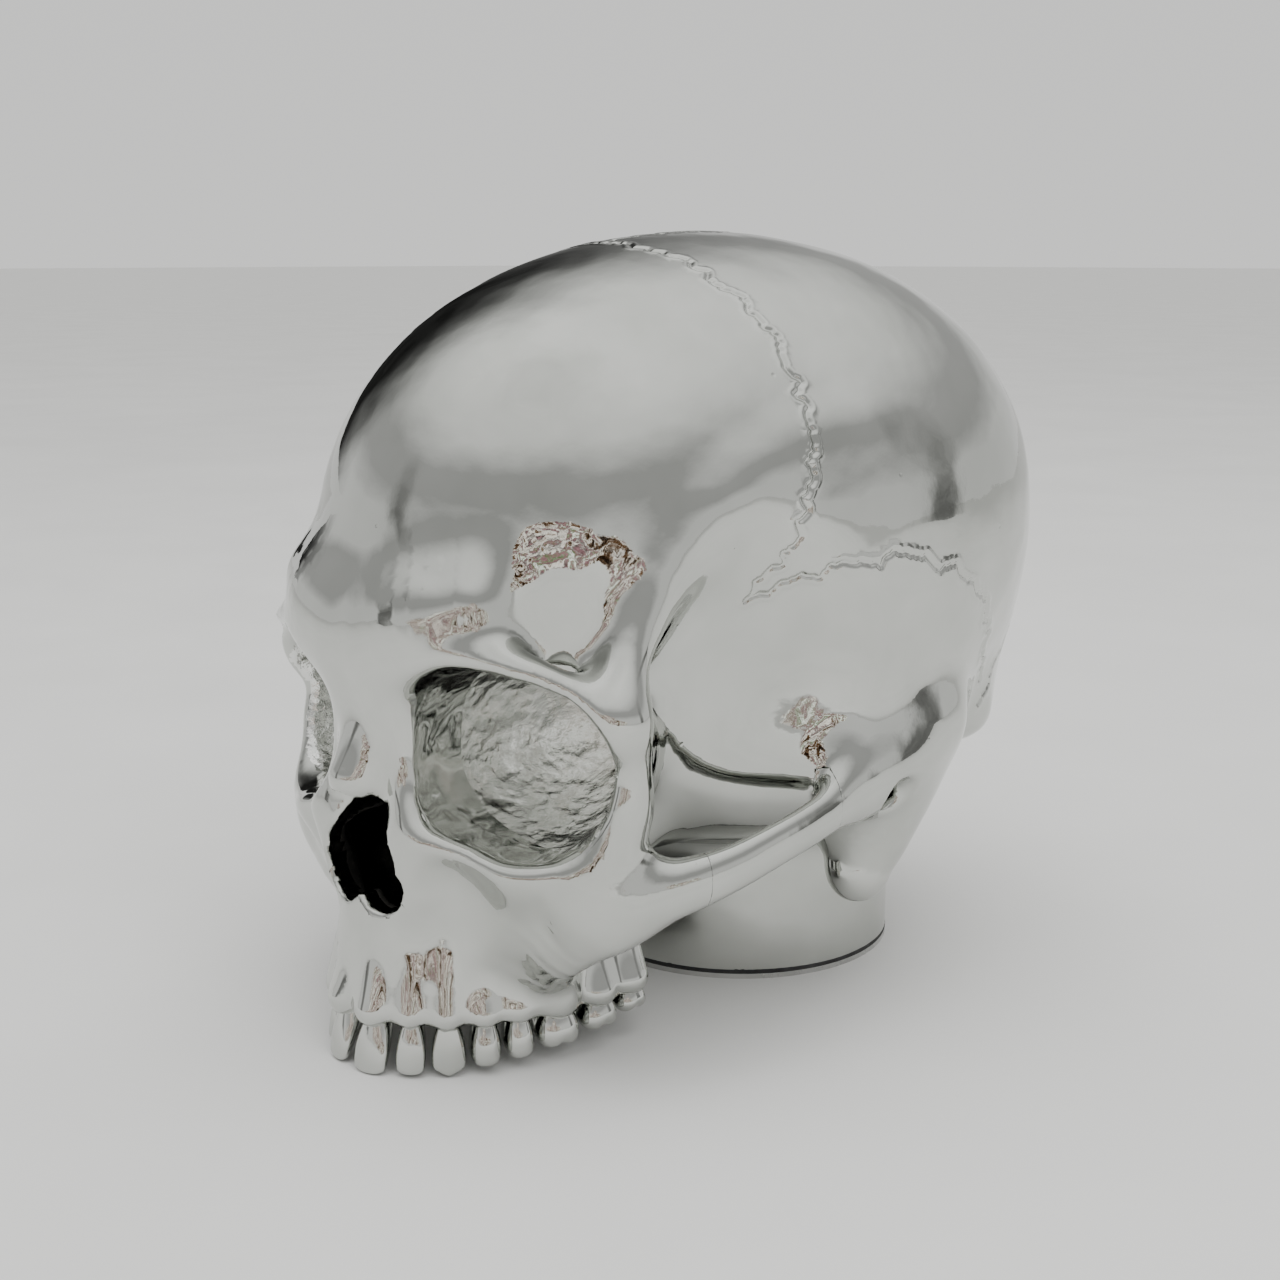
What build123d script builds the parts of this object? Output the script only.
"""Ornamental human skull without a lower jaw: a hollow plated casting that stands on its upper teeth and
on a round foot closed by a screwed cover.

Millimetres. +Z is up, the face looks to -Y and +X is the skull's own left. The origin is on the surface
that the skull stands on, halfway along its length.
"""

from build123d import *
from math import cos, pi, radians, sin
import os

os.makedirs("parts", exist_ok=True)

# Driving dimensions. The proportions are those of an average adult skull.
skull_length = 193.0
skull_height = 172.0
vault_radius = 70.0
wall = 3.5

# Braincase: an egg turned about a level axis, widest behind its middle.
vault_z = skull_height - vault_radius
vault_back_y = skull_length / 2
vault_front_y = -92.0
vault_wide_y = 18.0
vault_squareness = 2.4
vault_step = 15
vault_end = 5

# Ear, cheek and mastoid landmarks, given for the left side.
ear_y = 4.5
ear_z = 52.0
mastoid_x = 50.0
mastoid_y = 12.0
mastoid_tip_z = 22.0
mastoid_radius = 13.0
mastoid_tip_radius = 5.5
mastoid_top_z = 88.0

# Face: level half-oval sections, each (height, half width, front, centre, back).
gum_z = 12.0
palate_half_width = 33.0
palate_front_y = -93.0
palate_centre_y = -43.0
palate_back_y = -36.0
cheek_half_width = 50.0
face_back_y = -41.0
face_sections = [
    (gum_z, palate_half_width, palate_front_y, palate_centre_y, palate_back_y),
    (26.0, palate_half_width + 2, -92.0, palate_centre_y, palate_back_y),
    (37.0, cheek_half_width - 3, -90.0, -46.0, face_back_y),
    (54.0, cheek_half_width, -86.0, -46.0, face_back_y),
    (76.0, cheek_half_width + 1, -84.0, -46.0, face_back_y),
    (96.0, cheek_half_width - 4, -90.0, -46.0, face_back_y),
]

# Nose: the bridge is a small roof, and the opening under it is pear shaped.
bridge_top = (-83.0, 88.0)
bridge_tip = (-skull_length / 2, 61.0)
bridge_half_width = 9.0
bridge_root_y = -70.0
nose_bottom_z = 31.0
nose_top_z = 60.0
nose_half_width = 12.0
nose_reach_y = -34.0

# Eye sockets: closed bowls that turn inwards towards the back.
socket_x = 31.0
socket_y = -70.0
socket_z = 68.0
socket_radius = 18.5
socket_depth = 38.0
socket_turn = 25.0
socket_wall = 3.0
socket_lip = 1.0
socket_run_out = 25.0

# Hollow inside the cheeks, above the tooth roots and below the sockets.
cheek_hollow_floor = 33.0
cheek_hollow_roof = 45.0
cheek_hollow_inset = 8.0

# Palate vault between the tooth rows.
palate_hollow_half_width = 17.0
palate_hollow_front_y = -80.0
palate_hollow_height = 12.0
palate_hollow_taper = 22.0

# Foot, gasket, cover and screws.
foot_y = 26.0
foot_radius = 38.0
foot_top_z = 48.0
cover_thickness = 1.2
gasket_thickness = 1.0
foot_bottom_z = cover_thickness + gasket_thickness
gasket_inner_radius = 33.0
panel_lift = 3.2
panel_radius = 29.5
joggle = 2.0
screw_count = 4
screw_circle = 25.5
screw_radius = 1.5
screw_hole_clearance = 0.05
screw_length = 9.0
head_radius = 2.8
head_height = 1.6
recess_width = 0.8
recess_length = 3.4
recess_depth = 0.9
boss_radius = 3.8
boss_height = 14.0
rib_width = 4.0
rib_gap = 0.6

# Cheek arch: an oval bar on a level arc from the cheekbone to the ear.
arch_front = (47.0, -58.0, 44.0)
arch_middle = (63.5, -28.0, 50.0)
arch_rear = (60.0, 2.0, ear_z + 2)
arch_half_height = 5.0
arch_half_thickness = 2.6

# Upper teeth from the middle to the back: name, width, depth, lift of the biting edge, forward lean of the
# edge, depth of the edge as a share of the crown's, root length.
teeth = [
    ("central_incisor", 8.5, 7.0, 0.0, 4.6, 0.36, 13.0),
    ("lateral_incisor", 6.7, 6.2, 0.6, 3.9, 0.38, 13.0),
    ("canine", 7.6, 8.0, 0.2, 3.0, 0.45, 16.0),
    ("first_premolar", 7.1, 9.0, 1.4, 1.2, 0.66, 13.0),
    ("second_premolar", 6.7, 9.0, 2.0, 0.9, 0.68, 13.0),
    ("first_molar", 10.3, 11.2, 3.0, 0.7, 0.82, 12.0),
    ("second_molar", 9.7, 11.0, 4.2, 0.5, 0.82, 11.0),
    ("third_molar", 8.4, 10.0, 5.4, 0.4, 0.82, 10.0),
]
tooth_gap = 0.5
tooth_row_half_width = 27.5
tooth_row_front_y = -89.5
tooth_row_back_y = palate_centre_y
cement_gap = 0.1
neck_share = 0.72
root_share = 0.62
root_tip_share = 0.3
corner_share = 0.42


def vault_solid(inset):
    """The braincase's outer form, or the same form set in all round by inset. Its two ends are small flats."""
    front = vault_wide_y - vault_front_y - inset
    back = vault_back_y - vault_wide_y - inset
    radius = vault_radius - inset
    power = 2 / vault_squareness
    flat_reach = cos(radians(vault_end)) ** power
    outline = []
    for turn in (vault_end, *range(vault_step, 180, vault_step), 180 - vault_end):
        angle = radians(turn)
        along = abs(cos(angle)) ** power / flat_reach
        reach = -front * along if turn < 90 else back * along
        outline.append((vault_wide_y + reach, vault_z + radius * sin(angle) ** power))
    front_y = outline[0][0]
    back_y = outline[-1][0]
    with BuildPart() as vault:
        with BuildSketch(Plane.YZ):
            with BuildLine():
                Line((front_y, vault_z), outline[0])
                Spline(*outline)
                Line(outline[-1], (back_y, vault_z))
                Line((back_y, vault_z), (front_y, vault_z))
            make_face()
        revolve(axis=Axis((0, 0, vault_z), (0, 1, 0)))
    return vault.part


def socket_solid(side, extra, front_reach):
    """One eye socket's bowl, grown all round by extra, with a straight run in front of its opening."""
    away = Vector(-side * sin(radians(socket_turn)), cos(radians(socket_turn)), 0)
    sheet = Plane(origin=(side * socket_x, socket_y, socket_z), x_dir=away, z_dir=(0, 0, 1))
    radius = socket_radius + extra
    with BuildPart() as bowl:
        with BuildSketch(sheet):
            with BuildLine():
                Line((-front_reach, 0), (-front_reach, radius))
                Line((-front_reach, radius), (0, radius))
                Spline(
                    (0, radius),
                    (socket_depth * 0.55, radius * 0.86),
                    (socket_depth + extra, 0),
                    tangents=[(1, 0), (0, -1)],
                )
                Line((socket_depth + extra, 0), (-front_reach, 0))
            make_face()
        revolve(axis=Axis(sheet.origin, away))
    return bowl.part


def half_oval(half_width, front, centre, back):
    """A level section of the face: a half oval in front and a straight-sided back."""
    with BuildSketch() as section:
        with BuildLine():
            EllipticalCenterArc((0, centre), half_width, centre - front, start_angle=180, arc_size=180)
            Line((half_width, centre), (half_width, back))
            Line((half_width, back), (-half_width, back))
            Line((-half_width, back), (-half_width, centre))
        make_face()
    return section.sketch


def tooth_places():
    """For each tooth from the middle back: its neck's place on the left side and the way it faces."""
    depth = tooth_row_back_y - tooth_row_front_y
    steps = 2000
    placed = []
    gone = 0.0
    target = teeth[0][1] / 2
    last = (0.0, tooth_row_front_y)
    for step in range(1, steps):
        angle = pi * 0.56 * step / steps
        point = (tooth_row_half_width * sin(angle), tooth_row_back_y - depth * cos(angle))
        gone += ((point[0] - last[0]) ** 2 + (point[1] - last[1]) ** 2) ** 0.5
        last = point
        if gone >= target and len(placed) < len(teeth):
            outward = Vector(sin(angle) / tooth_row_half_width, -cos(angle) / depth, 0).normalized()
            placed.append((point, outward))
            done = len(placed)
            if done < len(teeth):
                target += (teeth[done - 1][1] + teeth[done][1]) / 2
    return placed


def tooth_plane(spot, side, height, forward=0):
    """A level plane across a tooth, set forward along the way the tooth faces."""
    place, outward = spot
    facing = Vector(side * outward.X, outward.Y, 0)
    centre = Vector(side * place[0], place[1], height) + facing * forward
    return Plane(origin=centre, x_dir=facing.rotate(Axis.Z, 90), z_dir=(0, 0, 1))


def root_solid(tooth, spot, side, grow):
    """The tapered root of a tooth, or the socket for it when grown by a cement gap."""
    name, width, depth, lift, lean, edge, root = tooth
    with BuildPart() as peg:
        for height, share in ((gum_z, root_share), (gum_z + root + grow, root_tip_share)):
            with BuildSketch(tooth_plane(spot, side, height)):
                across = share * width + 2 * grow
                through = share * depth + 2 * grow
                RectangleRounded(across, through, corner_share * min(across, through))
        loft(ruled=True)
    return peg.part


spots = tooth_places()

# Shell: braincase, face, mastoids and foot as one hollow casting.
with BuildPart() as skull_shell:
    add(vault_solid(0))
    for height, half_width, front, centre, back in face_sections:
        with BuildSketch(Plane.XY.offset(height)):
            add(half_oval(half_width, front, centre, back))
    loft()
    with BuildSketch(Plane.XY.offset(foot_bottom_z)):
        with Locations((0, foot_y)):
            Circle(foot_radius)
    extrude(amount=foot_top_z - foot_bottom_z)
    for side in (1, -1):
        with Locations((side * mastoid_x, mastoid_y, mastoid_tip_z + mastoid_tip_radius)):
            Sphere(mastoid_tip_radius)
        with Locations((side * mastoid_x, mastoid_y, mastoid_tip_z + mastoid_tip_radius)):
            Cone(
                mastoid_tip_radius,
                mastoid_radius,
                ear_z - mastoid_tip_z - mastoid_tip_radius,
                align=(Align.CENTER, Align.CENTER, Align.MIN),
            )
        with Locations((side * mastoid_x, mastoid_y, ear_z)):
            Cone(mastoid_radius, 2.0, mastoid_top_z - ear_z, align=(Align.CENTER, Align.CENTER, Align.MIN))
    with BuildSketch(Plane.XY.offset(bridge_top[1])):
        with BuildLine():
            Polyline((-2, bridge_top[0]), (2, bridge_top[0]), (3, bridge_root_y), (-3, bridge_root_y), close=True)
        make_face()
    with BuildSketch(Plane.XY.offset(bridge_tip[1])):
        with BuildLine():
            Polyline(
                (-2, bridge_tip[0]),
                (2, bridge_tip[0]),
                (bridge_half_width, bridge_root_y),
                (-bridge_half_width, bridge_root_y),
                close=True,
            )
        make_face()
    loft(ruled=True)

    # Hollows: the braincase, the foot, the cheeks and the nose run into each other.
    add(vault_solid(wall), mode=Mode.SUBTRACT)
    with BuildSketch(Plane.XY.offset(foot_bottom_z)):
        with Locations((0, foot_y)):
            Circle(foot_radius - wall)
    extrude(amount=foot_top_z - foot_bottom_z, mode=Mode.SUBTRACT)
    with BuildSketch(Plane.XY.offset(cheek_hollow_floor)):
        hollow_half_width = palate_half_width - cheek_hollow_inset
        hollow_front_y = palate_front_y + 2 * cheek_hollow_inset
        add(half_oval(hollow_half_width, hollow_front_y, palate_centre_y, nose_reach_y))
    extrude(amount=cheek_hollow_roof - cheek_hollow_floor, mode=Mode.SUBTRACT)
    for side in (1, -1):
        add(socket_solid(side, socket_wall, socket_lip))
    for side in (1, -1):
        add(socket_solid(side, 0, socket_run_out), mode=Mode.SUBTRACT)
    with BuildSketch(Plane.XZ.offset(-nose_reach_y)):
        with BuildLine():
            Spline(
                (0, nose_top_z),
                (nose_half_width * 0.62, nose_top_z - 9),
                (nose_half_width, nose_bottom_z + 9),
                (nose_half_width * 0.5, nose_bottom_z),
                (0, nose_bottom_z + 1.5),
                tangents=[(1, -0.4), (-1, 0.3)],
            )
            mirror(about=Plane.YZ)
        make_face()
    extrude(amount=skull_length, mode=Mode.SUBTRACT)
    with BuildSketch(Plane.XY.offset(gum_z)):
        add(half_oval(palate_hollow_half_width, palate_hollow_front_y, palate_centre_y, palate_back_y + 1))
    extrude(amount=palate_hollow_height, taper=palate_hollow_taper, mode=Mode.SUBTRACT)

    # Tooth sockets.
    for tooth, spot in zip(teeth, spots):
        for side in (1, -1):
            add(root_solid(tooth, spot, side, cement_gap), mode=Mode.SUBTRACT)

    # Screw bosses, each tied to the foot's wall by a rib.
    boss_bottom_z = panel_lift + cover_thickness
    with BuildSketch(Plane.XY.offset(boss_bottom_z)):
        with Locations((0, foot_y)):
            with PolarLocations(screw_circle, screw_count, start_angle=45):
                Circle(boss_radius)
    extrude(amount=boss_height)
    with BuildSketch(Plane.XY.offset(boss_bottom_z + rib_gap)):
        with Locations((0, foot_y)):
            with PolarLocations((screw_circle + foot_radius) / 2 - wall / 4, screw_count, start_angle=45):
                Rectangle(foot_radius - screw_circle - wall / 2, rib_width)
    extrude(amount=boss_height - rib_gap)
    with BuildSketch(Plane.XY.offset(boss_bottom_z)):
        with Locations((0, foot_y)):
            with PolarLocations(screw_circle, screw_count, start_angle=45):
                Circle(screw_radius + screw_hole_clearance)
    extrude(amount=screw_length, mode=Mode.SUBTRACT)
skull_shell.part.label = "skull_shell"
export_step(skull_shell.part, "parts/skull_shell.step")

# Cheek arches, cut to sit against the shell.
for side_name, side in (("left", 1), ("right", -1)):
    with BuildPart() as cheek_arch:
        with BuildLine() as arch_line:
            ThreePointArc(*[(side * x, y, z) for x, y, z in (arch_front, arch_middle, arch_rear)])
        with BuildSketch(Plane(origin=arch_line.line @ 0, x_dir=(0, 0, 1), z_dir=arch_line.line % 0)):
            Ellipse(arch_half_height, arch_half_thickness)
        sweep()
        add(skull_shell.part, mode=Mode.SUBTRACT)
    cheek_arch.part.label = side_name + "_cheek_arch"
    export_step(cheek_arch.part, f"parts/{side_name}_cheek_arch.step")

# Teeth: a crown that narrows to its neck, and a root in its socket.
for tooth, spot in zip(teeth, spots):
    name, width, depth, lift, lean, edge, root = tooth
    crown = width - tooth_gap
    belly_z = lift + 0.45 * (gum_z - lift)
    for side_name, side in (("left", 1), ("right", -1)):
        with BuildPart() as one_tooth:
            for height, forward, across, through in (
                (lift, lean, 0.9 * crown, edge * depth),
                (belly_z, 0.55 * lean, crown, 0.9 * depth),
                (gum_z, 0, neck_share * width, neck_share * depth),
            ):
                with BuildSketch(tooth_plane(spot, side, height, forward)):
                    RectangleRounded(across, through, corner_share * min(across, through))
            loft()
            add(root_solid(tooth, spot, side, 0))
        one_tooth.part.label = f"tooth_{side_name}_{name}"
        export_step(one_tooth.part, f"parts/tooth_{side_name}_{name}.step")

# Gasket under the foot's wall.
with BuildPart() as base_gasket:
    with BuildSketch(Plane.XY.offset(cover_thickness)):
        with Locations((0, foot_y)):
            Circle(foot_radius)
            Circle(gasket_inner_radius, mode=Mode.SUBTRACT)
    extrude(amount=gasket_thickness)
base_gasket.part.label = "base_gasket"
export_step(base_gasket.part, "parts/base_gasket.step")

# Cover: a pressed disc whose rim stands on the surface and whose raised panel takes the screws.
with BuildPart() as base_cover:
    with BuildSketch(Plane.YZ):
        with BuildLine():
            Polyline(
                (foot_y, panel_lift),
                (foot_y + panel_radius, panel_lift),
                (foot_y + panel_radius + joggle, 0),
                (foot_y + foot_radius, 0),
                (foot_y + foot_radius, cover_thickness),
                (foot_y + panel_radius + joggle + 0.7, cover_thickness),
                (foot_y + panel_radius + 0.7, panel_lift + cover_thickness),
                (foot_y, panel_lift + cover_thickness),
                close=True,
            )
        make_face()
    revolve(axis=Axis((0, foot_y, 0), (0, 0, 1)))
    with BuildSketch(Plane.XY):
        with Locations((0, foot_y)):
            with PolarLocations(screw_circle, screw_count, start_angle=45):
                Circle(screw_radius + screw_hole_clearance)
    extrude(amount=2 * panel_lift, mode=Mode.SUBTRACT)
base_cover.part.label = "base_cover"
export_step(base_cover.part, "parts/base_cover.step")

# Cover screws: round heads with a cross recess, under the raised panel.
with BuildPart() as cover_screws:
    with BuildSketch(Plane.XY.offset(panel_lift - head_height)):
        with Locations((0, foot_y)):
            with PolarLocations(screw_circle, screw_count, start_angle=45):
                Circle(head_radius)
    extrude(amount=head_height)
    fillet(cover_screws.faces().group_by(Axis.Z)[0].edges(), 0.7)
    with BuildSketch(Plane.XY.offset(panel_lift)):
        with Locations((0, foot_y)):
            with PolarLocations(screw_circle, screw_count, start_angle=45):
                Circle(screw_radius)
    extrude(amount=screw_length)
    with BuildSketch(Plane.XY.offset(panel_lift - head_height)):
        with Locations((0, foot_y)):
            with PolarLocations(screw_circle, screw_count, start_angle=45):
                Rectangle(recess_length, recess_width)
                Rectangle(recess_width, recess_length)
    extrude(amount=recess_depth, mode=Mode.SUBTRACT)
cover_screws.part.label = "cover_screws"
export_step(cover_screws.part, "parts/cover_screws.step")
